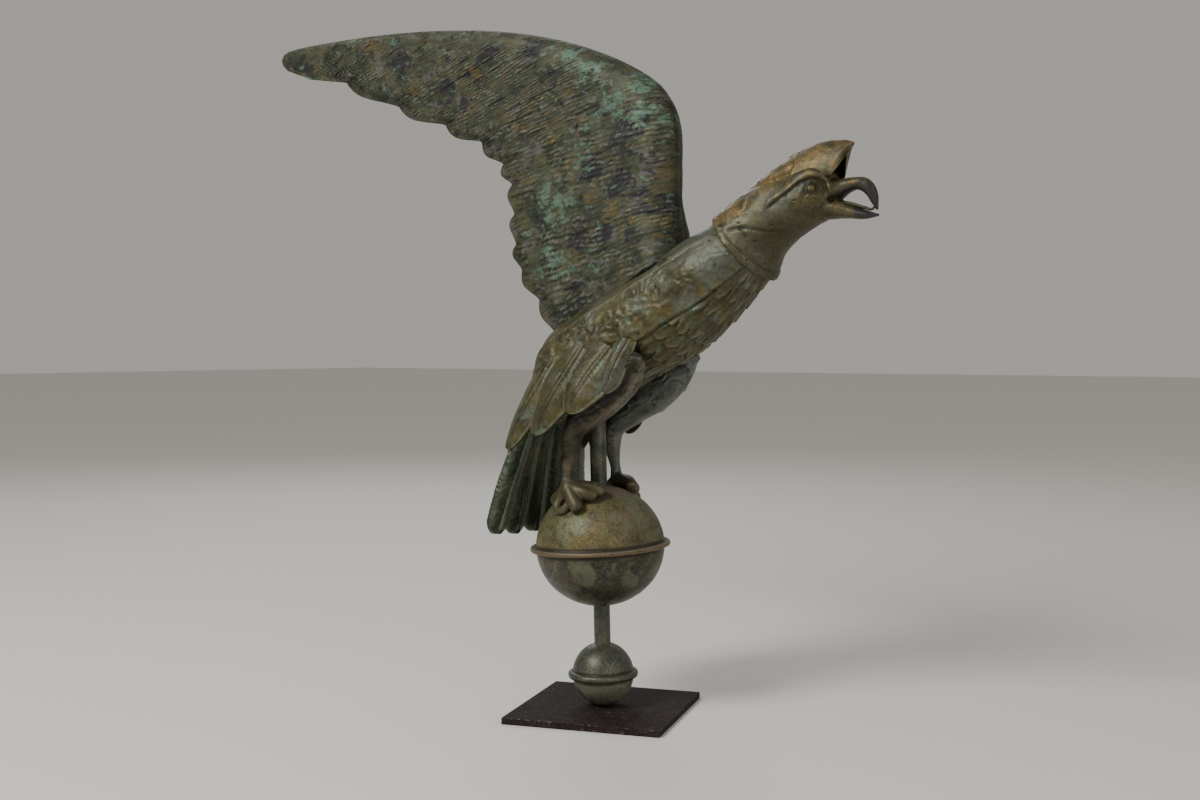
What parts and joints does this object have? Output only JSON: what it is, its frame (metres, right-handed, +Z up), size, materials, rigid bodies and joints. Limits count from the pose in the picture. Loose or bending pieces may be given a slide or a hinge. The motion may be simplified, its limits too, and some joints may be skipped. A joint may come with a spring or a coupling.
{
  "type": "eagle finial",
  "caption": "Patinated copper eagle with raised wings and open beak, perched on two balls on a pole, over a square black stand plate.",
  "frame": {"origin": "centre of the stand plate's underside", "axes": "+Z up, +X the way the eagle heads, +Y to the eagle's left"},
  "size_m": [0.713, 0.1906, 0.6797],
  "materials": {
    "black_steel": "worn black",
    "pole_copper": "mottled green patina",
    "ball_copper": "olive patina",
    "body_copper": "tan and olive patina",
    "wing_copper": "olive patina with verdigris",
    "tail_copper": "dark green patina",
    "leg_copper": "brown patina"
  },
  "bodies": {
    "root": {"stand_plate": "black_steel", "pole": "pole_copper", "small_ball_lower": "ball_copper", "small_ball_upper": "ball_copper", "large_ball_lower": "ball_copper", "large_ball_upper": "ball_copper", "body": "body_copper", "head": "body_copper", "tongue": "body_copper", "wings": "wing_copper", "tail": "tail_copper", "right_leg": "leg_copper", "left_leg": "leg_copper"}
  },
  "joints": []
}
